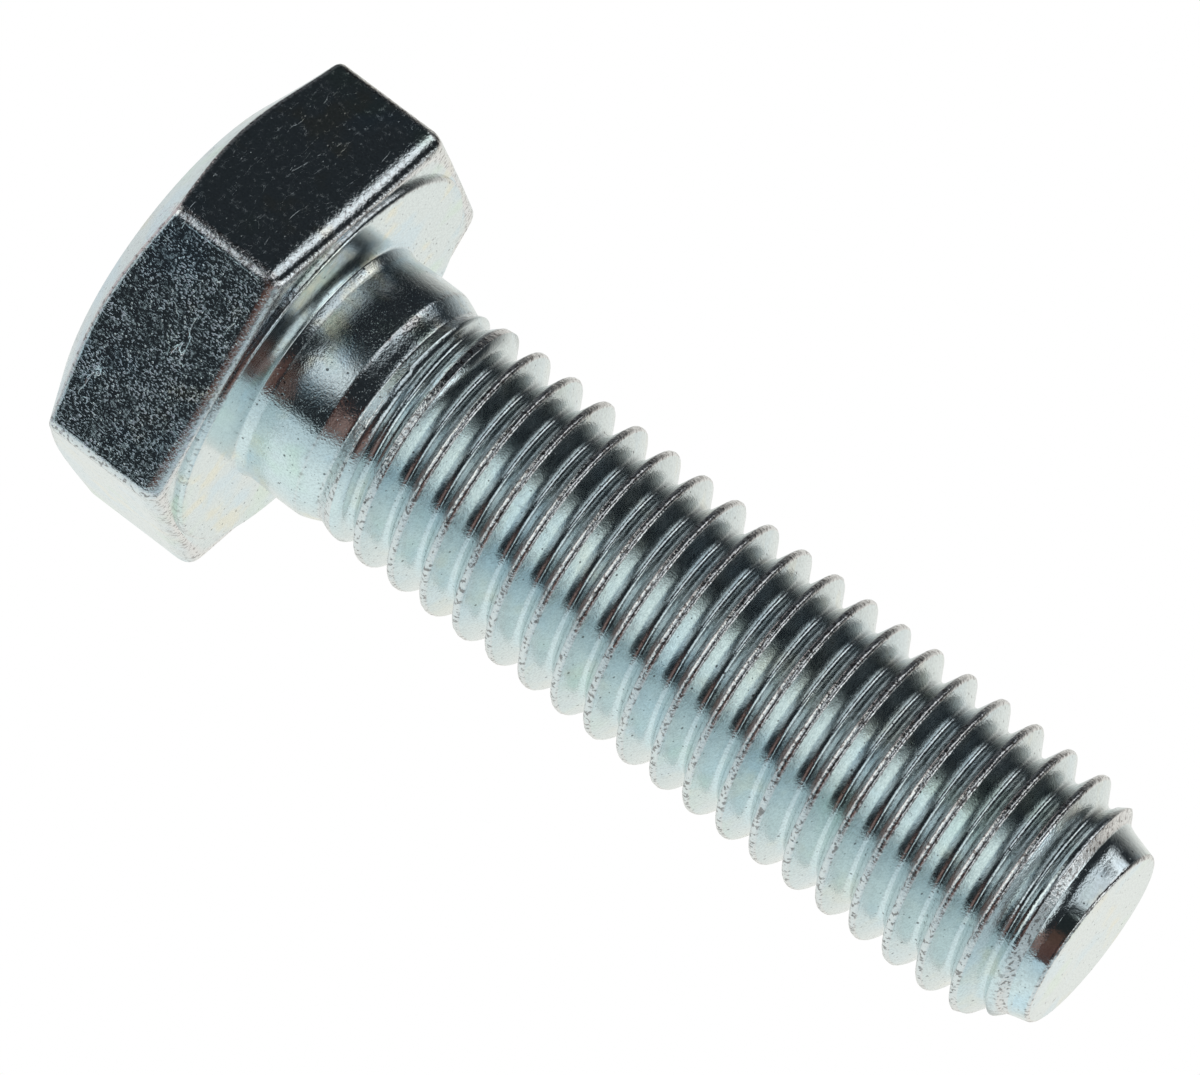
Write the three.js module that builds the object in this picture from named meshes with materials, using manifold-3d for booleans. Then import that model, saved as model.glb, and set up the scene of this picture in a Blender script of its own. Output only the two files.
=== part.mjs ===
// Hex bolt M10 x 35, threaded almost to the head, zinc-plated steel.
// The real bolt is one piece of steel. Its standard portions are modelled as closed solids that
// meet face to face: head, washer face, neck, rolled thread and chamfered point.
// Millimetres. +Z runs along the bolt's axis from the head to the point, and the origin is the
// centre of the head's top face, on which the bolt stands.

import * as THREE from 'three';
import { mergeVertices } from 'three/addons/utils/BufferGeometryUtils.js';
import Module from 'manifold-3d';

const wasm = await Module();
wasm.setup();

// Head
const ACROSS_FLATS = 16.75;
const HEAD_HEIGHT = 6.4;
const CORNER_ROUNDING = 0.6;
const TOP_FACE_RADIUS = 6.9;
const TOP_CHAMFER_DEGREES = 30;
const UNDERSIDE_BREAK_RADIUS = 9.2;
const UNDERSIDE_BREAK_HEIGHT = 0.4;

// Washer face, raised under the hexagon
const WASHER_FACE_RADIUS = 7.95;
const WASHER_FACE_HEIGHT = 0.25;

// Shank. Lengths along the axis are counted from the bearing face.
const LENGTH = 35;
const PITCH = 1.5;
const CREST_RADIUS = 4.94;
const ROOT_RADIUS = 4.08;
const BLANK_RADIUS = 4.54;
const FILLET_RADIUS = 0.5;
const NECK_LENGTH = 2.75;
const THREAD_START = 3.9;
const THREAD_FULL = 6.1;
const POINT_START = 32.4;
const POINT_KNEE = 33.9;
const POINT_KNEE_RADIUS = 3.92;
const RIDGE_FADE_START = 34.0;
const THREAD_END = 34.4;
const THREAD_END_RADIUS = 3.78;
const POINT_RIM_RADIUS = 3.68;
const RIM_HEIGHT = 0.2;
const END_FACE_RADIUS = 3.5;

// Thread form in one pitch: crest flat, then flanks at 60 degrees, with the root flat left over.
const CREST_FLAT = 0.25;
const FLANK_LENGTH = (CREST_RADIUS - ROOT_RADIUS) * Math.tan(Math.PI / 6);
const CREST_AZIMUTH_AT_BEARING_FACE = 78.75;

const ROUND_SEGMENTS = 48;
const THREAD_SEGMENTS = 32;

const HEX_UNDERSIDE = HEAD_HEIGHT - WASHER_FACE_HEIGHT;
const BEARING_Z = HEAD_HEIGHT;

const zincPlatedSteel = (roughness) => new THREE.MeshStandardMaterial({
  color: 0xc3cccd,
  metalness: 1,
  roughness,
});

// A solid of revolution about Z, from [radius, z] pairs listed from the bottom to the top.
function turned(profile, segments = ROUND_SEGMENTS) {
  const points = profile.map(([radius, z]) => new THREE.Vector2(radius, z));
  return new THREE.LatheGeometry(points, segments).rotateX(Math.PI / 2);
}

function toManifold(geometry) {
  const bare = geometry.clone();
  bare.deleteAttribute('normal');
  bare.deleteAttribute('uv');
  const merged = mergeVertices(bare, 1e-4);
  return new wasm.Manifold(new wasm.Mesh({
    numProp: 3,
    vertProperties: new Float32Array(merged.attributes.position.array),
    triVerts: new Uint32Array(merged.index.array),
  }));
}

function toGeometry(solid) {
  const mesh = solid.getMesh();
  const geometry = new THREE.BufferGeometry();
  geometry.setAttribute('position', new THREE.BufferAttribute(mesh.vertProperties, 3));
  geometry.setIndex(new THREE.BufferAttribute(mesh.triVerts, 1));
  return geometry;
}

// The hexagon's outline, with two flats square to X and its corners rounded to tangent arcs.
function hexagonOutline() {
  const outline = new THREE.Shape();
  const arcCentre = (ACROSS_FLATS - 2 * CORNER_ROUNDING) / Math.sqrt(3);
  for (let corner = 0; corner < 6; corner += 1) {
    const angle = Math.PI / 6 + corner * Math.PI / 3;
    outline.absarc(
      arcCentre * Math.cos(angle),
      arcCentre * Math.sin(angle),
      CORNER_ROUNDING,
      angle - Math.PI / 6,
      angle + Math.PI / 6,
      false,
    );
  }
  outline.closePath();
  return outline;
}

// A hexagonal prism whose top corners are cut by a shallow cone, and whose lower corners are
// broken by a small one.
function headGeometry() {
  const prism = new THREE.ExtrudeGeometry(hexagonOutline(), {
    depth: HEX_UNDERSIDE,
    bevelEnabled: false,
    curveSegments: 4,
  });
  const outside = ACROSS_FLATS;
  const cornerRadius = ACROSS_FLATS / Math.sqrt(3);
  const chamferSlope = Math.tan(THREE.MathUtils.degToRad(TOP_CHAMFER_DEGREES));
  const chamferHeight = (outside - TOP_FACE_RADIUS) * chamferSlope;
  const breakSlope = UNDERSIDE_BREAK_HEIGHT / (cornerRadius - UNDERSIDE_BREAK_RADIUS);
  const breakHeight = (outside - UNDERSIDE_BREAK_RADIUS) * breakSlope;
  const topCone = turned([
    [0, 0],
    [TOP_FACE_RADIUS, 0],
    [outside, chamferHeight],
    [outside, HEX_UNDERSIDE],
    [0, HEX_UNDERSIDE],
  ]);
  const cornerBreak = turned([
    [0, HEX_UNDERSIDE - breakHeight],
    [outside, HEX_UNDERSIDE - breakHeight],
    [UNDERSIDE_BREAK_RADIUS, HEX_UNDERSIDE],
    [0, HEX_UNDERSIDE],
  ]);
  const chamfered = toManifold(prism).intersect(toManifold(topCone));
  return toGeometry(chamfered.intersect(toManifold(cornerBreak)));
}

// A low disc. Its upper side is the bearing face, a ring around the fillet's foot.
function washerFaceGeometry() {
  return turned([
    [0, HEX_UNDERSIDE],
    [WASHER_FACE_RADIUS, HEX_UNDERSIDE],
    [WASHER_FACE_RADIUS - WASHER_FACE_HEIGHT / 2, BEARING_Z],
    [CREST_RADIUS + FILLET_RADIUS, BEARING_Z],
    [0, BEARING_Z],
  ]);
}

// The unthreaded neck: a fillet under the head, a full-size cylinder, and a taper down to the
// blank that the thread is rolled on.
function neckGeometry() {
  const filletSteps = 4;
  const profile = [[0, BEARING_Z]];
  for (let step = 0; step <= filletSteps; step += 1) {
    const angle = (step / filletSteps) * Math.PI / 2;
    profile.push([
      CREST_RADIUS + FILLET_RADIUS * (1 - Math.sin(angle)),
      BEARING_Z + FILLET_RADIUS * (1 - Math.cos(angle)),
    ]);
  }
  profile.push([CREST_RADIUS, BEARING_Z + NECK_LENGTH]);
  profile.push([BLANK_RADIUS, BEARING_Z + THREAD_START]);
  profile.push([0, BEARING_Z + THREAD_START]);
  return turned(profile);
}

// The radius of the blank that the thread is rolled on. It narrows at the point.
function blankRadius(height) {
  const { clamp, lerp } = THREE.MathUtils;
  const tapered = clamp((height - POINT_START) / (POINT_KNEE - POINT_START), 0, 1);
  const ended = clamp((height - POINT_KNEE) / (THREAD_END - POINT_KNEE), 0, 1);
  const kneeRadius = lerp(BLANK_RADIUS, POINT_KNEE_RADIUS, tapered);
  return lerp(kneeRadius, THREAD_END_RADIUS, ended);
}

// How low and how high the thread may reach at a height above the bearing face. It grows out of
// the blank after the neck, follows the blank in at the point, and sinks back into it at the end.
function threadLimits(height) {
  const { clamp } = THREE.MathUtils;
  const grown = clamp((height - THREAD_START) / (THREAD_FULL - THREAD_START), 0, 1);
  const left = clamp((THREAD_END - height) / (THREAD_END - RIDGE_FADE_START), 0, 1);
  const blank = blankRadius(height);
  const high = blank + (CREST_RADIUS - BLANK_RADIUS) * Math.min(grown, left);
  const low = Math.min(blank, BLANK_RADIUS - (BLANK_RADIUS - ROOT_RADIUS) * grown);
  return { low, high };
}

// A lathe grid sheared along the helix. Each row climbs one pitch in a turn, and so ends where
// the row of the same kind one pitch above begins. Rows past either end close up into its rim.
function threadGeometry() {
  const form = [
    { offset: -CREST_FLAT / 2, radius: CREST_RADIUS },
    { offset: CREST_FLAT / 2, radius: CREST_RADIUS },
    { offset: CREST_FLAT / 2 + FLANK_LENGTH, radius: ROOT_RADIUS },
    { offset: PITCH - CREST_FLAT / 2 - FLANK_LENGTH, radius: ROOT_RADIUS },
  ];
  const firstCrest = -PITCH * CREST_AZIMUTH_AT_BEARING_FACE / 360;
  const firstTurn = Math.floor((THREAD_START - firstCrest) / PITCH) - 2;
  const lastTurn = Math.ceil((THREAD_END - firstCrest) / PITCH) + 1;
  const rows = [];
  for (let turn = firstTurn; turn <= lastTurn; turn += 1) {
    for (const { offset, radius } of form) {
      rows.push({ height: firstCrest + turn * PITCH + offset, radius });
    }
  }

  // The first and last points are the end caps' centres, on the axis.
  const pointCount = rows.length + 2;
  const placeholder = Array.from({ length: pointCount }, (_, j) => new THREE.Vector2(1, j));
  const geometry = new THREE.LatheGeometry(placeholder, THREAD_SEGMENTS);
  const position = geometry.attributes.position;
  for (let index = 0; index < position.count; index += 1) {
    const segment = Math.floor(index / pointCount);
    const j = index % pointCount;
    const angle = ((segment % THREAD_SEGMENTS) / THREAD_SEGMENTS) * 2 * Math.PI;
    if (j === 0 || j === pointCount - 1) {
      const end = j === 0 ? THREAD_START : THREAD_END;
      position.setXYZ(index, 0, 0, BEARING_Z + end);
      continue;
    }
    const row = rows[j - 1];
    const climbed = row.height + PITCH * segment / THREAD_SEGMENTS;
    const height = THREE.MathUtils.clamp(climbed, THREAD_START, THREAD_END);
    const { low, high } = threadLimits(height);
    const radius = THREE.MathUtils.clamp(row.radius, low, high);
    position.setXYZ(index, radius * Math.cos(angle), radius * Math.sin(angle), BEARING_Z + height);
  }
  return toGeometry(toManifold(geometry));
}

function pointGeometry() {
  return turned([
    [0, BEARING_Z + THREAD_END],
    [THREAD_END_RADIUS, BEARING_Z + THREAD_END],
    [POINT_RIM_RADIUS, BEARING_Z + LENGTH - RIM_HEIGHT],
    [END_FACE_RADIUS, BEARING_Z + LENGTH],
    [0, BEARING_Z + LENGTH],
  ]);
}

const bolt = new THREE.Group();

function addPortion(name, geometry, roughness) {
  const mesh = new THREE.Mesh(geometry, zincPlatedSteel(roughness));
  mesh.name = name;
  bolt.add(mesh);
}

addPortion('hex_head', headGeometry(), 0.35);
addPortion('washer_face', washerFaceGeometry(), 0.25);
addPortion('plain_neck', neckGeometry(), 0.3);
addPortion('threaded_shank', threadGeometry(), 0.25);
addPortion('chamfered_point', pointGeometry(), 0.25);

export default bolt;
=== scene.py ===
"""Hex bolt M10 x 35: the looks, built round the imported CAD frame.

Five pieces stand for the five CAD nodes: head, washer face, neck, thread and point. They are
portions of one forged and rolled bolt, so their surfaces run on into each other.
"""

import math

import bpy
import numpy as np
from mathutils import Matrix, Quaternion, Vector, noise


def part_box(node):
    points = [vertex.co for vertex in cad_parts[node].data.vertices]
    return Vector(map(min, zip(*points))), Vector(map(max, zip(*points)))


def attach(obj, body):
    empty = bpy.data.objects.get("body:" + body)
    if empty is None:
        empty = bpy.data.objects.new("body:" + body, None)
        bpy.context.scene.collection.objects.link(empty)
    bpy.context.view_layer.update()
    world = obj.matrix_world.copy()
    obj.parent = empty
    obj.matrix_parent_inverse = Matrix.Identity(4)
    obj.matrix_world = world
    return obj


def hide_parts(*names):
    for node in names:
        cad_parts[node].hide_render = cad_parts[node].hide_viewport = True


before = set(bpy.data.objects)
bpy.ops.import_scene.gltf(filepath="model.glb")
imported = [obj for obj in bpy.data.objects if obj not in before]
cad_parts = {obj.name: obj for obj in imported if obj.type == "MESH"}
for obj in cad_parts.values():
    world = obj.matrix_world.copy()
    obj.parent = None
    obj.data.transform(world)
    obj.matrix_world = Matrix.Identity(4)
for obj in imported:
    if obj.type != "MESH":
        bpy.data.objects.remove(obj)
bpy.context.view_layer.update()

MM = 0.001


def box_mm(node):
    """A CAD node's lowest and highest corners, in millimetres."""
    low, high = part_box(node)
    return np.array(low) / MM, np.array(high) / MM


# ---------------------------------------------------------------- sizes, in millimetres

HEAD_LOW, HEAD_HIGH = box_mm("hex_head")
WASHER_HIGH = box_mm("washer_face")[1]
NECK_HIGH = box_mm("plain_neck")[1]
THREAD_LOW, THREAD_HIGH = box_mm("threaded_shank")
POINT_HIGH = box_mm("chamfered_point")[1]

ACROSS_FLATS = HEAD_HIGH[0] - HEAD_LOW[0]
UNDERSIDE_Z = HEAD_HIGH[2]
BEARING_Z = WASHER_HIGH[2]
WASHER_RADIUS = WASHER_HIGH[0]
CREST_RADIUS = THREAD_HIGH[0]
END_Z = POINT_HIGH[2]
# Heights along the shank are measured from the bearing face, here and further down.
THREAD_START = THREAD_LOW[2] - BEARING_Z
THREAD_END = THREAD_HIGH[2] - BEARING_Z

CORNER_ROUNDING = 0.6
TOP_FACE_RADIUS = 6.95
TOP_CHAMFER = math.radians(30)
# How much fuller each corner stands than the plain cone, from the corner at 30 degrees onwards.
CORNER_FILL = (0.15, 0.12, 0.16, 0.26, 0.1, 0.2)
# How marked each flat is by the trimming die, from the flat at 60 degrees onwards.
FLAT_DRAG = (0.6, 0.8, 0.5, 0.12, 1.0, 0.1)
# How far the soft edge on the bearing side runs up each flat, and up the corners.
FLAT_BREAK = (0.8, 0.7, 0.8, 0.95, 0.55, 0.7)
CORNER_BREAK = 0.75

FILLET_RADIUS = NECK_HIGH[0] - CREST_RADIUS
# The full-size cylinder ends at the first height, and the taper below it at the second.
NECK_LENGTH = 2.75
TAPER_END = 3.63
# The neck is thickest at this height, and slimmer by the depth at the reach to either side.
BARREL_HEIGHT = 2.0
BARREL_REACH = 1.3
BARREL_DEPTH = 0.035
# The dimples and the barrel begin at this height, where the fillet dies out.
FILLET_TOP = 0.5
# Where the rolled surface takes over from the plain neck.
TRACE_START = TAPER_END - 0.5

PITCH = 1.5
ROOT_RADIUS = 4.08
BLANK_RADIUS = 4.54
# Half widths of the crest, and how far the bends run down the flanks.
CREST_TIP_SIDE = 0.085
CREST_HEAD_SIDE = 0.13
CREST_ROUNDING = (0.14, 0.08)
ROOT_ROUNDING = 0.27
# A crest of the thread would cross the bearing face in this direction.
CREST_AZIMUTH = math.radians(78.75)
# The ridge starts to grow, reaches its full height, and ends, on average, at these heights.
RIDGE_START = 3.3
THREAD_FULL = 6.1
RIDGE_END = 33.87
# The ridge dies out over the fade. Its end climbs and drops by the swing on the way round, and
# passes the middle height, climbing, at the azimuth.
RIDGE_FADE = 0.45
RIDGE_SWING = 0.3
RIDGE_END_AZIMUTH = math.radians(-120)
# The blank starts to narrow at the first height, and narrows less quickly past the knee.
POINT_START = 32.4
POINT_KNEE = 33.9
POINT_KNEE_RADIUS = 3.92
THREAD_END_RADIUS = POINT_HIGH[0]
RIM_RADIUS = 3.63
END_FACE_RADIUS = 3.47

SHANK_COLUMNS = 240


# ---------------------------------------------------------------- mesh helpers

def mesh_object(name, points, faces, flat_faces, wear):
    """A smooth-shaded mesh from points in millimetres. Faces listed as flat keep sharp edges.

    The wear attribute is 1 on crests and edges, where the plating is rough, and 0 elsewhere.
    """
    mesh = bpy.data.meshes.new(name)
    mesh.from_pydata([tuple(p) for p in np.asarray(points) * MM], [], [tuple(f) for f in faces])
    smooth = np.ones(len(mesh.polygons), bool)
    smooth[list(flat_faces)] = False
    mesh.polygons.foreach_set("use_smooth", smooth)
    ends = np.zeros(len(mesh.edges) * 2, int)
    mesh.edges.foreach_get("vertices", ends)
    sharp = np.zeros(len(mesh.edges), bool)
    for index in flat_faces:
        sharp |= np.isin(ends.reshape(-1, 2), faces[index]).all(axis=1)
    mesh.attributes.new("sharp_edge", "BOOLEAN", "EDGE").data.foreach_set("value", sharp)
    mesh.attributes.new("wear", "FLOAT", "POINT").data.foreach_set("value", np.ravel(wear))
    mesh.validate()
    mesh.update()
    piece = bpy.data.objects.new(name, mesh)
    bpy.context.scene.collection.objects.link(piece)
    return piece


def bend(start, corner, end, steps):
    """Points on a smooth bend from start to end that heads for the corner and turns off before it."""
    start, corner, end = (np.asarray(p, float) for p in (start, corner, end))
    s = np.linspace(0, 1, steps).reshape((-1,) + (1,) * start.ndim)
    return (1 - s) ** 2 * start + 2 * s * (1 - s) * corner + s ** 2 * end


def lumps(points, size, seed):
    """Smooth random numbers, about -1 to 1, one for each point, varying over the size in mm."""
    shift = Vector((seed * 17.3, seed * 5.1, seed * 9.7))
    return np.array([noise.noise(Vector(p) / size + shift) for p in points])


def ease(x, start, end):
    """0 before start, 1 after end, smooth between."""
    t = np.clip((x - start) / (end - start), 0, 1)
    return t * t * (3 - 2 * t)


def grid_faces(rows, columns):
    """Quads round a closed tube of rows, with a flat face at each end."""
    j, i = np.meshgrid(np.arange(rows - 1), np.arange(columns), indexing="ij")
    k = (i + 1) % columns
    below, above = j * columns, (j + 1) * columns
    faces = np.stack([below + i, below + k, above + k, above + i], -1).reshape(-1, 4).tolist()
    faces.append(list(range(columns - 1, -1, -1)))
    faces.append(list(range((rows - 1) * columns, rows * columns)))
    return faces, (len(faces) - 2, len(faces) - 1)


def closed_lathe(name, stretches, relief=None, marks=None):
    """A solid of revolution, closed by a flat cap at each end.

    Each stretch holds [radius, z] rows, from one end of the solid to the other, and their wear. The
    relief moves points outwards by its answer in mm. The marks are more wear.
    """
    profile = np.vstack([rows for rows, wear in stretches])
    row_wear = np.concatenate([np.broadcast_to(wear, len(rows)) for rows, wear in stretches])
    angle = np.arange(SHANK_COLUMNS) * 2 * math.pi / SHANK_COLUMNS
    radius = np.repeat(profile[:, 0:1], SHANK_COLUMNS, 1)
    height = np.repeat(profile[:, 1:2], SHANK_COLUMNS, 1)
    points = np.stack([radius * np.cos(angle), radius * np.sin(angle), height], -1).reshape(-1, 3)
    if relief is not None:
        out = np.concatenate([points[:, :2], np.zeros((len(points), 1))], 1)
        out /= np.linalg.norm(out, axis=1)[:, None]
        points = points + out * relief(points)[:, None]
    worn = np.repeat(row_wear, SHANK_COLUMNS)
    if marks is not None:
        worn = np.maximum(worn, marks(points))
    return mesh_object(name, points, *grid_faces(len(profile), SHANK_COLUMNS), worn)


# ---------------------------------------------------------------- head

def hexagon_outline():
    """The rounded hexagon: points round it, and which corner each is nearest."""
    def towards(angle):
        return np.array([math.cos(angle), math.sin(angle)])

    arc_centre = (ACROSS_FLATS - 2 * CORNER_ROUNDING) / math.sqrt(3)
    # Half of the angle from one corner to the next.
    half_side = math.pi / 6
    points, corner_of = [], []
    for corner in range(6):
        middle = half_side + corner * 2 * half_side
        for turn in np.linspace(-half_side, half_side, 13):
            points.append(arc_centre * towards(middle) + CORNER_ROUNDING * towards(middle + turn))
            corner_of.append(corner)
        following = middle + 2 * half_side
        flat_start = points[-1]
        flat_end = arc_centre * towards(following) + CORNER_ROUNDING * towards(middle + half_side)
        for share in np.linspace(0, 1, 30)[1:-1]:
            points.append(flat_start + share * (flat_end - flat_start))
            corner_of.append(corner if share < 0.5 else (corner + 1) % 6)
    return np.array(points), np.array(corner_of)


def head_piece():
    """The forged hexagon: shallow cone on top, softly broken edge on the bearing side."""
    outline, corner_of = hexagon_outline()
    reach = np.linalg.norm(outline, axis=1)
    outward = outline / reach[:, None]
    columns = len(outline)
    cornered = np.clip((reach - ACROSS_FLATS / 2) / 1.2, 0, 1)

    def at(xy, z):
        return np.concatenate([xy, np.broadcast_to(z, (columns,))[:, None]], 1)

    def towards(a, b, distance):
        step = b - a
        share = np.broadcast_to(distance, (columns,)) / np.linalg.norm(step, axis=1)
        return a + step * share[:, None]

    fill = np.array(CORNER_FILL)[corner_of] * cornered ** 2
    chamfer_z = (reach - TOP_FACE_RADIUS) * math.tan(TOP_CHAMFER) - fill
    top_rim = at(outward * TOP_FACE_RADIUS, 0.0)
    shoulder = at(outline, chamfer_z)
    lower = at(outline, UNDERSIDE_Z)
    flat = np.rint((np.degrees(np.arctan2(outline[:, 1], outline[:, 0])) - 60) / 60).astype(int) % 6
    break_in = 0.4 + 0.25 * cornered
    break_up = np.array(FLAT_BREAK)[flat] * (1 - cornered) + CORNER_BREAK * cornered
    washer_ring = at(outward * (WASHER_RADIUS + 0.03), UNDERSIDE_Z)

    top_bend = (towards(top_rim, at(outward * 0, 0.0), 0.25), top_rim, towards(top_rim, shoulder, 0.25))
    shoulder_bend = (towards(shoulder, top_rim, 0.2), shoulder, towards(shoulder, lower, 0.2))
    side_end = towards(lower, shoulder, break_up)
    underside = at(outline - outward * break_in[:, None], UNDERSIDE_Z)
    down_side = side_end - shoulder_bend[2]
    vertical_edge = ease(cornered, 0.935, 0.985)
    rows, wear = [], []

    def add_rows(new_rows, new_wear, least=0.0):
        rows.extend(new_rows)
        wear.extend(np.broadcast_to(np.maximum(w, least), (columns,)) for w in new_wear)

    add_rows([at(outward * share * TOP_FACE_RADIUS, 0.0) for share in (0.5, 0.9)], (0.1, 0.1))
    add_rows(bend(*top_bend, 6), (0.1, 0.3, 0.5, 0.5, 0.3, 0.1))
    add_rows([(top_bend[-1] + shoulder_bend[0]) / 2], (0.1,))
    add_rows(bend(*shoulder_bend, 7), (0.2, 0.6, 1, 1, 1, 0.6, 0.2), vertical_edge)
    side_shares = np.linspace(0, 1, 24)[1:-1]
    add_rows([shoulder_bend[2] + down_side * share for share in side_shares], [0] * 22, vertical_edge)
    add_rows(bend(side_end, lower, underside, 12), np.linspace(0.3, 1, 12), vertical_edge)
    add_rows([underside + (washer_ring - underside) * share for share in (0.5, 1.0)], (0.2, 0.0))
    points = np.array(rows).reshape(-1, 3)
    worn = np.array(wear).ravel()
    rough = worn * 0.018 * lumps(points, 0.22, 3) + 0.012 * lumps(points, 1.7, 5)
    out = np.concatenate([np.tile(outward, (len(rows), 1)), np.zeros((len(points), 1))], 1)
    on_side = (points[:, 2] > 0.4) & (points[:, 2] < UNDERSIDE_Z - 0.05)
    points = points + out * (np.minimum(rough, 0.0) * on_side)[:, None]
    faces, caps = grid_faces(len(rows), columns)
    piece = mesh_object("forged_hex_head", points, faces, caps, worn)
    drag = piece.data.attributes.new("drag", "FLOAT", "POINT")
    drag.data.foreach_set("value", np.tile(np.array(FLAT_DRAG)[flat], len(rows)))
    return piece


# ---------------------------------------------------------------- washer face and neck

def washer_piece():
    """The raised ring under the head, with a soft rim."""
    rim = WASHER_RADIUS
    foot = [rim, UNDERSIDE_Z + 0.02]
    face = [[radius, BEARING_Z] for radius in np.linspace(rim - 0.4, CREST_RADIUS + FILLET_RADIUS, 8)]
    stretches = (
        ([[rim, UNDERSIDE_Z]], 0.6),
        (bend(foot, [rim - 0.02, BEARING_Z], [rim - 0.16, BEARING_Z], 8), [0.6] * 7 + [0.2]),
        (face, 0.0),
    )
    return closed_lathe("washer_face_ring", stretches)


def neck_relief(points):
    """Shallow dimples on the slightly barrelled plain part, and the thread's trace past it."""
    height = points[:, 2] - BEARING_Z
    radius = np.hypot(points[:, 0], points[:, 1])
    angle = np.arctan2(points[:, 1], points[:, 0])
    plain = ease(height, FILLET_TOP, 0.9) * ease(-height, -TAPER_END, -NECK_LENGTH)
    dimples = plain * (0.0035 * lumps(points, 0.7, 11) + 0.002 * lumps(points, 0.3, 12) - 0.004)
    off = (np.maximum(height, FILLET_TOP) - BARREL_HEIGHT) / BARREL_REACH
    barrel = BARREL_DEPTH * off ** 2 * ease(-height, -TRACE_START, -NECK_LENGTH)
    traced = -soft_min(-rolled_radius(angle, height), -radius, 0.03) - radius
    return np.where(height > TRACE_START, traced, dimples - barrel)


def neck_scuff(points):
    """A scuffed spot on the edge above the taper, with a short trail."""
    height = points[:, 2] - BEARING_Z
    angle = np.degrees(np.arctan2(points[:, 1], points[:, 0]))

    def smear(middle_height, half_height, middle_angle, half_angle):
        up = (height - middle_height) / half_height
        across = (angle - middle_angle) / half_angle
        return np.exp(-up ** 2 - across ** 2)

    spot = smear(NECK_LENGTH + 0.1, 0.17, -119, 7)
    trail = smear(NECK_LENGTH - 0.07, 0.08, -106, 8)
    return np.clip(1.4 * spot + 0.9 * trail, 0, 1)


def neck_piece():
    """Fillet, full-size cylinder and the taper down to the rolled blank."""
    step = np.array([CREST_RADIUS, BEARING_Z])
    knee = step + [0, NECK_LENGTH]
    foot = np.array([BLANK_RADIUS, BEARING_Z + TAPER_END])
    slope = foot - knee
    down = slope / np.linalg.norm(slope)
    upper_fillet = bend(step + [0.028, 0.34], step + [0.0, 0.43], step + [0, 0.56], 7)
    cylinder = [[CREST_RADIUS, z] for z in np.linspace(upper_fillet[-1][1], knee[1] - 0.15, 18)[1:-1]]
    blank = [[BLANK_RADIUS, z] for z in np.linspace(foot[1] + 0.06, BEARING_Z + THREAD_START, 9)[1:]]
    knee_wear = (0.0, 0.2, 0.4, 0.6, 0.6, 0.4, 0.2, 0.1, 0.0)
    stretches = (
        ([step + [FILLET_RADIUS, 0]], 0.1),
        (bend(step + [0.36, 0.004], step + [0.126, 0.012], step + [0.1, 0.1], 8), 0.1),
        (upper_fillet, 0.1),
        (cylinder, 0.0),
        (bend(knee - [0, 0.15], knee, knee + down * 0.2, 9), knee_wear),
        ([knee + slope * share for share in np.linspace(0.3, 0.82, 12)], [0.0] * 9 + [0.1, 0.2, 0.4]),
        (bend(foot - down * 0.12, foot, foot + [0, 0.06], 5), 0.6),
        (blank, 0.6),
    )
    return closed_lathe("formed_neck", stretches, neck_relief, neck_scuff)


# ---------------------------------------------------------------- thread and point

def soft_min(a, b, softness):
    """The smaller of two lengths, with the crossing rounded over about the softness."""
    h = np.clip(0.5 + 0.5 * (b - a) / softness, 0, 1)
    return b * (1 - h) + a * h - softness * h * (1 - h)


def half_form(crest_half, crest_rounding, middle_of_root):
    """From the crest's middle down one flank to the root, as [distance from the crest, radius]."""
    tangent = math.tan(math.radians(30))
    crest_corner = np.array([crest_half, CREST_RADIUS])
    root_corner = crest_corner + (CREST_RADIUS - ROOT_RADIUS) * np.array([tangent, -1.0])
    slope = (root_corner - crest_corner) / np.linalg.norm(root_corner - crest_corner)
    crest = bend([0.0, CREST_RADIUS], crest_corner, crest_corner + slope * crest_rounding, 5)
    root = bend(root_corner - slope * ROOT_ROUNDING, root_corner, [middle_of_root, ROOT_RADIUS], 6)
    return np.vstack([crest, root])


def thread_form():
    """One pitch of the thread as [offset from the crest's middle, radius], root to root."""
    middle_of_root = (PITCH + CREST_TIP_SIDE - CREST_HEAD_SIDE) / 2
    rising = half_form(CREST_HEAD_SIDE, CREST_ROUNDING[1], PITCH - middle_of_root)
    falling = half_form(CREST_TIP_SIDE, CREST_ROUNDING[0], middle_of_root)
    return np.vstack([rising[-2:0:-1] * [-1, 1], falling])


def blank_radius(height):
    """The blank that the thread is rolled on, narrowing at the point."""
    heights = (POINT_START, POINT_KNEE, THREAD_END)
    return np.interp(height, heights, (BLANK_RADIUS, POINT_KNEE_RADIUS, THREAD_END_RADIUS))


def thread_growth(angle, height):
    """How much of the ridge has been rolled up at a height, 0 to 1."""
    quick = ease(height, RIDGE_START, RIDGE_START + 0.9)
    slow = ease(height, RIDGE_START, THREAD_FULL)
    end = RIDGE_END + RIDGE_SWING * np.sin(angle - RIDGE_END_AZIMUTH)
    return (0.5 * quick + 0.5 * slow) * (1 - ease(height, end - RIDGE_FADE, end))


def thread_radius(form_radius, angle, height):
    """Radius of the rolled surface where the full form has form_radius."""
    growth = thread_growth(angle, height)
    rolled = np.clip(growth * 4, 0, 1)
    cut = form_radius + (BLANK_RADIUS - ROOT_RADIUS) * (1 - ease(height, RIDGE_START, THREAD_FULL))
    cut = cut - np.maximum(ROOT_RADIUS - blank_radius(height), 0)
    limit = blank_radius(height) + (CREST_RADIUS - BLANK_RADIUS) * growth
    full = (height > THREAD_FULL) & (height < POINT_START)
    return np.where(full, form_radius, soft_min(cut, limit + 0.01 * rolled, 0.04 * rolled + 1e-6))


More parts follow.
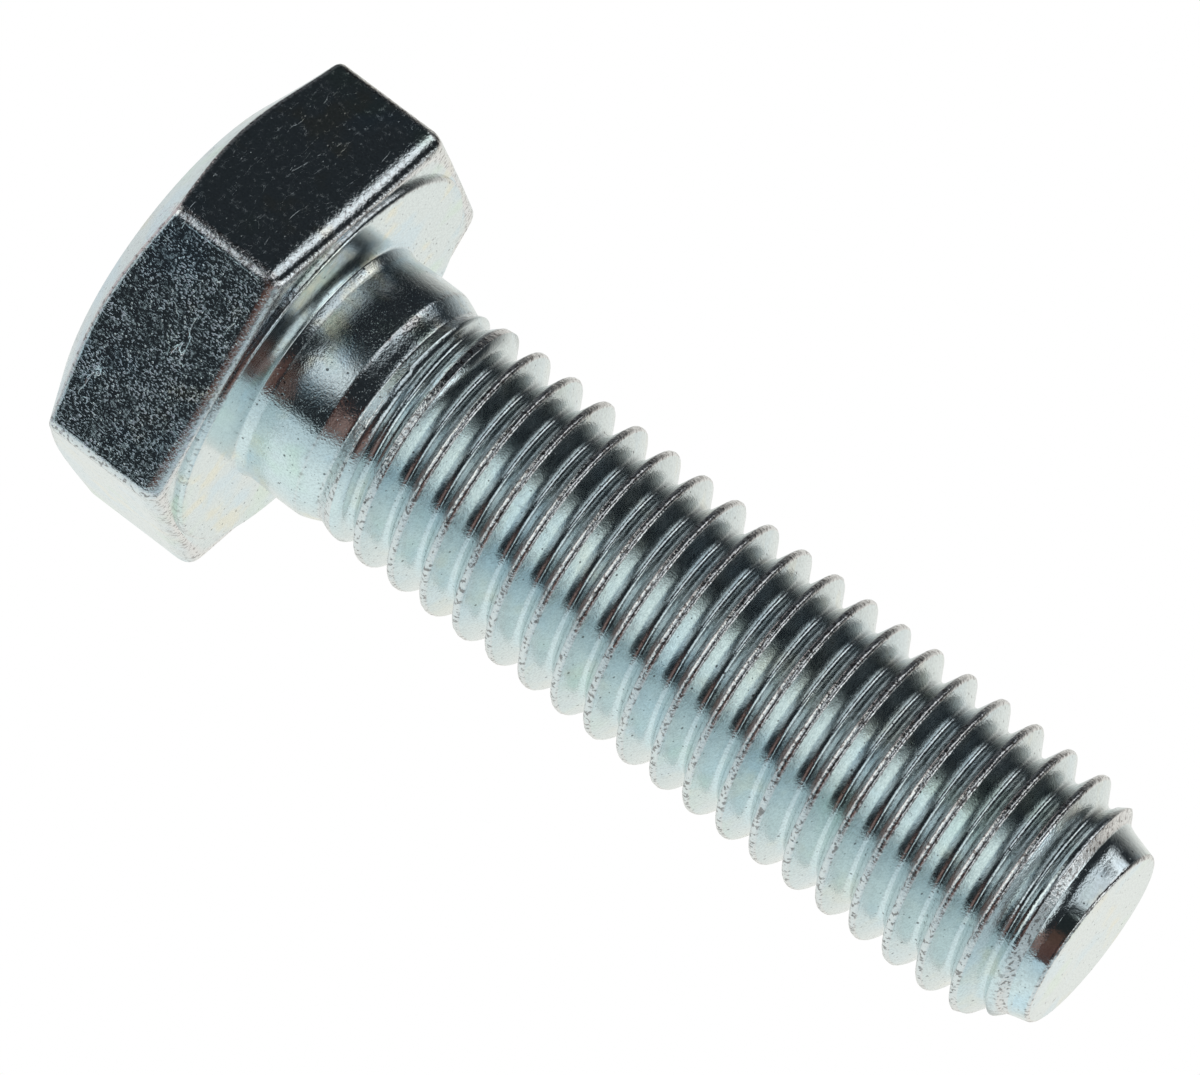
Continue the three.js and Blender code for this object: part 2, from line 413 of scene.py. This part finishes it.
def rolled_radius(angle, height):
    """Radius of the rolled surface in a direction, at a height."""
    form = thread_form()
    offset = height - PITCH * (angle - CREST_AZIMUTH) / (2 * math.pi)
    offset = (offset - form[0, 0]) % PITCH + form[0, 0]
    return thread_radius(np.interp(offset, form[:, 0], form[:, 1], period=PITCH), angle, height)


def thread_piece():
    """The rolled thread. Rows follow the helix, so one row's end meets the row a pitch above."""
    form = thread_form()
    per_pitch = len(form)
    first_crest = -PITCH * CREST_AZIMUTH / (2 * math.pi)
    first_turn = math.floor((THREAD_START - first_crest) / PITCH) - 2
    last_turn = math.ceil((THREAD_END - first_crest) / PITCH) + 1
    turns = np.arange(first_turn, last_turn + 1)
    row_height = (first_crest + turns[:, None] * PITCH + form[None, :, 0]).reshape(-1)
    row_radius = np.tile(form[:, 1], len(turns))
    row_crest = np.clip((row_radius - CREST_RADIUS + 0.13) / 0.08, 0, 1)
    rows = len(row_height)
    column = np.arange(SHANK_COLUMNS)
    angle = column * 2 * math.pi / SHANK_COLUMNS
    height = row_height[:, None] + PITCH * column[None, :] / SHANK_COLUMNS
    radius = thread_radius(row_radius[:, None], angle[None, :], height)
    crest = np.repeat(row_crest[:, None], SHANK_COLUMNS, 1)
    places = np.stack([radius * np.cos(angle), radius * np.sin(angle), height], -1).reshape(-1, 3)
    dents = 0.016 * lumps(places, 0.3, 21) + 0.02 * np.minimum(lumps(places, 0.9, 22), 0)
    radius = radius + (crest.ravel() * np.minimum(dents, 0.004)).reshape(radius.shape)
    places = np.stack([radius * np.cos(angle), radius * np.sin(angle), height], -1).reshape(-1, 3)

    points, wear, index = [], [], np.zeros((rows, SHANK_COLUMNS), int)
    end_radii = {THREAD_START: rolled_radius(angle, THREAD_START), THREAD_END: THREAD_END_RADIUS}
    for end, end_radius in end_radii.items():
        ring = np.stack([end_radius * np.cos(angle), end_radius * np.sin(angle)], -1)
        points.extend((x, y, BEARING_Z + end) for x, y in ring)
        wear.extend([0.3] * SHANK_COLUMNS)
    for j in range(rows):
        for i in column:
            if height[j, i] <= THREAD_START + 1e-4:
                index[j, i] = i
            elif height[j, i] >= THREAD_END - 1e-4:
                index[j, i] = SHANK_COLUMNS + i
            else:
                index[j, i] = len(points)
                x, y, z = places[j * SHANK_COLUMNS + i]
                points.append((x, y, BEARING_Z + z))
                wear.append(crest[j, i])
    faces = []
    for j in range(rows - 1):
        for i in column:
            if i + 1 < SHANK_COLUMNS:
                loop = (index[j, i], index[j, i + 1], index[j + 1, i + 1], index[j + 1, i])
            elif j + 1 + per_pitch < rows:
                upper = j + per_pitch
                loop = (index[j, i], index[upper, 0], index[upper + 1, 0], index[j + 1, i])
            else:
                continue
            distinct = list(dict.fromkeys(int(v) for v in loop))
            if len(distinct) > 2:
                faces.append(distinct)
    faces.append(list(range(SHANK_COLUMNS - 1, -1, -1)))
    faces.append(list(range(SHANK_COLUMNS, 2 * SHANK_COLUMNS)))
    return mesh_object("rolled_thread", points, faces, (len(faces) - 2, len(faces) - 1), wear)


def point_relief(points):
    """Small dents round the rim."""
    rim = ease(points[:, 2], END_Z - 0.4, END_Z - 0.15)
    outside_face = np.hypot(points[:, 0], points[:, 1]) > END_FACE_RADIUS + 0.01
    return rim * outside_face * np.minimum(0.02 * lumps(points, 0.25, 31), 0.0)


def point_piece():
    """The short cone end past the last ridge, with a rounded rim and a flat face."""
    cone_end = [RIM_RADIUS + 0.03, END_Z - 0.16]
    rim_wear = (0.2, 0.5, 0.8, 1, 1, 1, 1, 1, 1, 0.8, 0.5, 0.2)
    stretches = (
        ([[THREAD_END_RADIUS, BEARING_Z + THREAD_END]], 0.1),
        (bend(cone_end, [RIM_RADIUS, END_Z], [END_FACE_RADIUS, END_Z], 12), rim_wear),
        ([[radius, END_Z] for radius in np.linspace(END_FACE_RADIUS, 0.4, 8)[1:]], 0.0),
    )
    return closed_lathe("chamfered_end", stretches, point_relief)


# ---------------------------------------------------------------- materials

def add(tree, kind, sockets=None, **settings):
    """A new node, with its settings and its input sockets given as values or as links."""
    made = tree.nodes.new(kind)
    for name, value in settings.items():
        setattr(made, name, value)
    for key, value in (sockets or {}).items():
        if isinstance(value, bpy.types.NodeSocket):
            tree.links.new(value, made.inputs[key])
        else:
            made.inputs[key].default_value = value
    return made


def calc(tree, operation, a, b=0.0, c=0.0):
    """The result of a Math node."""
    return add(tree, "ShaderNodeMath", {0: a, 1: b, 2: c}, operation=operation).outputs[0]


def blend(tree, factor, a, b, mode="MIX"):
    """Colour a at factor 0, changing to colour b at factor 1."""
    mixed = add(tree, "ShaderNodeMix", {0: factor, 6: a, 7: b}, data_type="RGBA", blend_type=mode)
    return mixed.outputs[2]


def ramp(tree, value, low, high, to_low=0.0, to_high=1.0):
    """Smooth change from to_low to to_high while the value goes from low to high."""
    sockets = {0: value, 1: low, 2: high, 3: to_low, 4: to_high}
    return add(tree, "ShaderNodeMapRange", sockets, interpolation_type="SMOOTHSTEP").outputs[0]


def grain(tree, place, scale, detail=2.0, stretch=None):
    """Noise with the given number of grains to the millimetre."""
    if stretch is not None:
        stretched = add(tree, "ShaderNodeVectorMath", {0: place, 1: stretch}, operation="MULTIPLY")
        place = stretched.outputs[0]
    sockets = {"Vector": place, "Scale": scale, "Detail": detail}
    return add(tree, "ShaderNodeTexNoise", sockets).outputs[0]


def specks(tree, place, scale, share, size):
    """Scattered small round spots: 1 inside a spot. The share is the part of cells that has one."""
    cells = add(tree, "ShaderNodeTexVoronoi", {"Vector": place, "Scale": scale, "Randomness": 1.0})
    near = ramp(tree, cells.outputs["Distance"], size * 0.5, size, 1.0, 0.0)
    chance = add(tree, "ShaderNodeSeparateColor", {0: cells.outputs["Color"]}).outputs[0]
    return calc(tree, "MULTIPLY", near, calc(tree, "LESS_THAN", chance, share))


def zinc(name, peel, peel_scale, fine, polish, tint=1.0, spotty=1.0, glints=0.0, extra=None):
    """Bright zinc plating over steel: tinted, grained, specked, and rough where the wear is.

    The peel and the fine grain are bumps in mm, and the peel's scale is in lumps to the mm. Polish is
    the roughness. Tint, spotty and glints say how much there is of stain, dark spots and bright pits.
    """
    material = bpy.data.materials.new(name)
    material.use_nodes = True
    tree = material.node_tree
    shader = tree.nodes["Principled BSDF"]
    shader.inputs["Metallic"].default_value = 1
    where = add(tree, "ShaderNodeTexCoord").outputs["Object"]
    place = add(tree, "ShaderNodeVectorMath", {0: where, 3: 1 / MM}, operation="SCALE").outputs[0]
    wear = add(tree, "ShaderNodeAttribute", attribute_name="wear").outputs["Fac"]

    plain = (0.78, 0.84, 0.84, 1)
    blue = ramp(tree, grain(tree, place, 0.4, 3.0), 0.5, 0.66, 0.0, 0.8 * tint)
    colour = blend(tree, blue, plain, (0.70, 0.83, 0.90, 1))
    green = ramp(tree, grain(tree, place, 0.33, 2.0), 0.42, 0.3, 0.0, 0.8 * tint)
    colour = blend(tree, green, colour, (0.74, 0.86, 0.76, 1))
    straw = ramp(tree, grain(tree, place, 0.55, 3.0), 0.56, 0.7, 0.0, 0.8 * tint)
    colour = blend(tree, straw, colour, (0.87, 0.84, 0.70, 1))
    mottle = ramp(tree, grain(tree, place, 12.0, 3.0), 0.35, 0.6, 0.86, 1.0)
    colour = blend(tree, 1.0, colour, mottle, "MULTIPLY")
    colour = blend(tree, ramp(tree, wear, 0.3, 1.0, 0.0, 0.7), colour, (0.84, 0.79, 0.77, 1))
    grime = ramp(tree, grain(tree, place, 6.0, 5.0), 0.53, 0.62, 0.0, 0.75)
    grime = calc(tree, "MULTIPLY", grime, wear)
    colour = blend(tree, grime, colour, (0.16, 0.13, 0.12, 1))

    dark_spots = specks(tree, place, 2.6, 0.3 * spotty, 0.17)
    tiny_spots = specks(tree, place, 5.0, 0.22 * spotty, 0.2)
    spots = calc(tree, "MAXIMUM", dark_spots, tiny_spots)
    colour = blend(tree, calc(tree, "MULTIPLY", spots, 0.8), colour, (0.08, 0.08, 0.08, 1))

    broad = grain(tree, place, peel_scale)
    close = grain(tree, place, 14.0, 3.0)
    height = calc(tree, "MULTIPLY", broad, peel)
    height = calc(tree, "MULTIPLY_ADD", close, fine, height)
    worn_grain = calc(tree, "MULTIPLY", grain(tree, place, 9.0, 3.0), wear)
    height = calc(tree, "MULTIPLY_ADD", worn_grain, 0.022, height)
    height = calc(tree, "MULTIPLY_ADD", spots, -0.004, height)
    if glints:
        pits = specks(tree, place, 14.0, glints, 0.3)
        height = calc(tree, "MULTIPLY_ADD", pits, -0.005, height)
    roughness = ramp(tree, grain(tree, place, 3.0, 4.0), 0.3, 0.75, polish * 0.8, polish * 1.4)
    roughness = calc(tree, "MULTIPLY_ADD", wear, 0.03, roughness)
    if extra is not None:
        colour, roughness, height = extra(tree, place, colour, roughness, height)
    bump = add(tree, "ShaderNodeBump", {"Strength": 1.0, "Distance": MM, "Height": height})
    tree.links.new(colour, shader.inputs["Base Color"])
    tree.links.new(roughness, shader.inputs["Roughness"])
    tree.links.new(bump.outputs[0], shader.inputs["Normal"])
    return material


def hairlines(tree, place, scale, share):
    """Thin torn scratches round the head, in patches that cover about the given share of it."""
    across = grain(tree, place, scale, 4.0, (0.35, 0.35, 1.0))
    level = calc(tree, "ABSOLUTE", calc(tree, "SUBTRACT", across, 0.5))
    line = ramp(tree, level, 0.002, 0.006, 1.0, 0.0)
    patch = ramp(tree, grain(tree, place, scale * 1.4, 2.0), 0.62 - 0.3 * share, 0.7 - 0.3 * share)
    return calc(tree, "MULTIPLY", line, patch)


def trimmed_flats(tree, place, colour, roughness, height):
    """Matt pepper where the trimming die dragged, faint smudges, and torn scratches that glint."""
    drag = add(tree, "ShaderNodeAttribute", attribute_name="drag").outputs["Fac"]
    pepper = ramp(tree, grain(tree, place, 15.0, 2.0, (1.0, 1.0, 0.6)), 0.55, 0.67)
    patches = ramp(tree, grain(tree, place, 1.1, 3.0), 0.36, 0.62, 0.35, 1.0)
    pepper = calc(tree, "MULTIPLY", calc(tree, "MULTIPLY", pepper, patches), drag)
    torn = calc(tree, "MULTIPLY", specks(tree, place, 7.0, 0.16, 0.28), drag)
    smudge = ramp(tree, grain(tree, place, 5.5, 7.0), 0.48, 0.72)
    scratch = calc(tree, "MULTIPLY", hairlines(tree, place, 0.5, 0.2), drag)
    faint = hairlines(tree, place, 1.2, 0.7)
    colour = blend(tree, calc(tree, "MULTIPLY", pepper, 0.9), colour, (0.80, 0.74, 0.84, 1))
    roughness = calc(tree, "MULTIPLY_ADD", pepper, 0.17, roughness)
    roughness = calc(tree, "MULTIPLY_ADD", smudge, 0.19, roughness)
    roughness = calc(tree, "MULTIPLY_ADD", faint, 0.16, roughness)
    roughness = calc(tree, "MULTIPLY_ADD", scratch, 0.1, roughness)
    height = calc(tree, "MULTIPLY_ADD", pepper, -0.003, height)
    height = calc(tree, "MULTIPLY_ADD", torn, -0.012, height)
    height = calc(tree, "MULTIPLY_ADD", scratch, -0.012, height)
    return colour, roughness, height


# ---------------------------------------------------------------- studio

def direction_angles(tree):
    """Azimuth and elevation, in radians, of the direction that the surroundings are seen in."""
    direction = add(tree, "ShaderNodeTexCoord").outputs["Generated"]
    x, y, z = add(tree, "ShaderNodeSeparateXYZ", {0: direction}).outputs[:]
    return calc(tree, "ARCTAN2", y, x), calc(tree, "ARCSINE", z)


# Soft panels round the bolt: name, azimuth, elevation, half width, half height, and the softness of
# the upright and level borders, in degrees, then the colour. Later panels hang in front.
BACK_PANELS = (
    ("room behind", 75, 6, 66, 40, 26, 14, (0.82, 0.82, 0.79)),
    ("overhead", 60, 76, 95, 16, 30, 8, (0.34, 0.40, 0.43)),
)
# The cove: azimuth, elevation, radius, softness of its border, how much softer the border gets with
# each degree past 20 degrees up or down, then the colour.
COVE = (38, 0, 69, 2.0, 0.35, (0.55, 0.68, 0.73))
COVE_STEEP = math.radians(20)
ROOM_DARK = (0.019, 0.023, 0.027, 1)
FRONT_PANELS = (
    ("heart of the cove", 45, -2, 48, 40, 22, 22, (0.80, 0.91, 0.92)),
    ("middle of the cove", 85, 2, 25, 40, 25, 18, (0.84, 0.86, 0.83)),
    ("glow behind the bolt", 97, 2, 12, 18, 12, 12, (0.90, 0.90, 0.86)),
    ("dim foot", 150, -42, 48, 14, 8, 8, (0.08, 0.09, 0.10)),
    ("pale foot", 88, -42, 26, 20, 12, 9, (0.72, 0.76, 0.76)),
    ("window", 175, 66, 42, 12, 14, 6, (1.25, 1.35, 1.4)),
    ("overhead strip", -85, 58, 33, 12, 12, 5, (0.85, 0.92, 0.96)),
    ("side softbox", -145, 5, 38, 8.5, 7, 4, (1.05, 1.1, 1.15)),
    ("taller half of the side softbox", -127, 11, 26, 10.5, 7, 3, (0.72, 0.78, 0.83)),
    ("brown door", -50, 14, 18, 10, 5, 5, (0.095, 0.052, 0.045)),
    ("brown wall above the door", -44, 40, 11, 17, 5, 6, (0.24, 0.16, 0.145)),
    ("spill below the cove", -36, -38, 16, 11, 10, 6, (0.42, 0.55, 0.60)),
    ("spill above the low light", -80, -24, 24, 6, 12, 5, (0.30, 0.42, 0.50)),
    ("highlight on the neck", -80, -15, 13, 7, 11, 8, (0.85, 0.92, 0.96)),
    ("low softbox", -80, -44, 36, 15, 16, 6, (1.15, 1.23, 1.22)),
    ("ground", 0, -78, 190, 16, 1, 6, (0.60, 0.56, 0.57)),
)


def panel(tree, azimuth, elevation, colour, entry):
    """Hang one soft-edged panel in front of the colour so far."""
    name, middle, level, half_width, half_height, side, edge, shade = entry
    off = calc(tree, "WRAP", calc(tree, "SUBTRACT", azimuth, math.radians(middle)), math.pi, -math.pi)
    across = calc(tree, "ABSOLUTE", off)
    up = calc(tree, "ABSOLUTE", calc(tree, "SUBTRACT", elevation, math.radians(level)))
    inner, outer = math.radians(half_width - side), math.radians(half_width + side)
    within = ramp(tree, across, inner, outer, 1.0, 0.0)
    inner, outer = math.radians(half_height - edge), math.radians(half_height + edge)
    within = calc(tree, "MULTIPLY", within, ramp(tree, up, inner, outer, 1.0, 0.0))
    hung = blend(tree, within, colour, (*shade, 1))
    hung.node.label = name
    return hung


def cove(tree, colour, elevation, middle, level, radius, softness, spread, shade):
    """The round pale cove that the bolt faces. Its border is softer high up and low down."""
    middle, level = math.radians(middle), math.radians(level)
    centre = (math.cos(middle) * math.cos(level), math.sin(middle) * math.cos(level), math.sin(level))
    direction = add(tree, "ShaderNodeTexCoord").outputs["Generated"]
    dot = add(tree, "ShaderNodeVectorMath", {0: direction, 1: centre}, operation="DOT_PRODUCT")
    apart = calc(tree, "ARCCOSINE", dot.outputs["Value"])
    away = calc(tree, "SUBTRACT", apart, math.radians(radius))
    steep = calc(tree, "SUBTRACT", calc(tree, "ABSOLUTE", elevation), COVE_STEEP)
    steep = calc(tree, "MAXIMUM", steep, 0.0)
    border = calc(tree, "MULTIPLY_ADD", steep, spread, math.radians(softness))
    within = ramp(tree, calc(tree, "DIVIDE", away, border), -1.0, 1.0, 1.0, 0.0)
    return blend(tree, within, colour, (*shade, 1))


def make_surroundings():
    """A dark room with a pale cove on one side and soft lights. The camera sees plain white."""
    world = bpy.data.worlds.new("studio")
    bpy.context.scene.world = world
    world.use_nodes = True
    tree = world.node_tree
    tree.nodes.clear()
    azimuth, elevation = direction_angles(tree)
    colour = ROOM_DARK
    for entry in BACK_PANELS:
        colour = panel(tree, azimuth, elevation, colour, entry)
    colour = cove(tree, colour, elevation, *COVE)
    for entry in FRONT_PANELS:
        colour = panel(tree, azimuth, elevation, colour, entry)
    studio = add(tree, "ShaderNodeBackground", {"Color": colour}).outputs[0]
    plain = add(tree, "ShaderNodeBackground", {"Color": (1, 1, 1, 1)}).outputs[0]
    seen = add(tree, "ShaderNodeLightPath").outputs["Is Camera Ray"]
    shown = add(tree, "ShaderNodeMixShader", {0: seen, 1: studio, 2: plain}).outputs[0]
    add(tree, "ShaderNodeOutputWorld", {"Surface": shown})


# In metres.
FLOOR_HALF_WIDTH = 3.0


def make_floor():
    """A plain white light table. Only the camera sees it, so it throws nothing onto the metal."""
    mesh = bpy.data.meshes.new("floor")
    half = FLOOR_HALF_WIDTH
    corners = [(-half, -half, 0), (half, -half, 0), (half, half, 0), (-half, half, 0)]
    mesh.from_pydata(corners, [], [(0, 1, 2, 3)])
    floor = bpy.data.objects.new("floor", mesh)
    bpy.context.scene.collection.objects.link(floor)
    material = bpy.data.materials.new("light_table")
    material.use_nodes = True
    tree = material.node_tree
    tree.nodes.clear()
    glow = add(tree, "ShaderNodeEmission", {"Color": (1, 1, 1, 1), "Strength": 1.0}).outputs[0]
    add(tree, "ShaderNodeOutputMaterial", {"Surface": glow})
    mesh.materials.append(material)
    floor.visible_glossy = False
    floor.visible_diffuse = False


# Where the bolt is seen from, the camera's turn about its own axis, and its distance and aim in mm.
VIEW_AZIMUTH = math.radians(-82.698)
VIEW_ELEVATION = math.radians(13.857)
VIEW_ROLL = math.radians(127.0)
VIEW_DISTANCE = 398.75
VIEW_AIM = Vector((-0.894, -0.115, 18.454))
LENS = 336.42


def make_camera():
    """A long lens, rolled so that the bolt lies head up on the left and point down on the right."""
    data = bpy.data.cameras.new("camera")
    data.sensor_width = 36
    data.lens = LENS
    data.clip_start = 0.01
    data.clip_end = 20
    camera = bpy.data.objects.new("camera", data)
    bpy.context.scene.collection.objects.link(camera)
    back = Vector((
        math.cos(VIEW_AZIMUTH) * math.cos(VIEW_ELEVATION),
        math.sin(VIEW_AZIMUTH) * math.cos(VIEW_ELEVATION),
        math.sin(VIEW_ELEVATION),
    ))
    camera.location = (VIEW_AIM + back * VIEW_DISTANCE) * MM
    camera.rotation_mode = "QUATERNION"
    camera.rotation_quaternion = (-back).to_track_quat("-Z", "Y") @ Quaternion((0, 0, 1), VIEW_ROLL)
    bpy.context.scene.camera = camera


# ---------------------------------------------------------------- assembly

def place_pieces():
    """Every piece, the CAD node it stands for, and its plating."""
    head = zinc("zinc_head", 0.002, 5.0, 0.0008, 0.07, spotty=0.4, extra=trimmed_flats)
    washer = zinc("zinc_washer_face", 0.003, 2.5, 0.001, 0.15)
    neck = zinc("zinc_neck", 0.006, 6.0, 0.007, 0.1, glints=0.25)
    thread = zinc("zinc_thread", 0.005, 7.0, 0.006, 0.12, tint=0.4, spotty=0.8)
    point = zinc("zinc_point", 0.004, 3.0, 0.002, 0.09)
    pieces = (
        (head_piece(), "hex_head", head),
        (washer_piece(), "washer_face", washer),
        (neck_piece(), "plain_neck", neck),
        (thread_piece(), "threaded_shank", thread),
        (point_piece(), "chamfered_point", point),
    )
    for piece, node, material in pieces:
        piece.data.materials.append(material)
        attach(piece, "root")
        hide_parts(node)


place_pieces()
make_camera()
make_floor()
make_surroundings()
bpy.context.scene.view_settings.view_transform = "Standard"
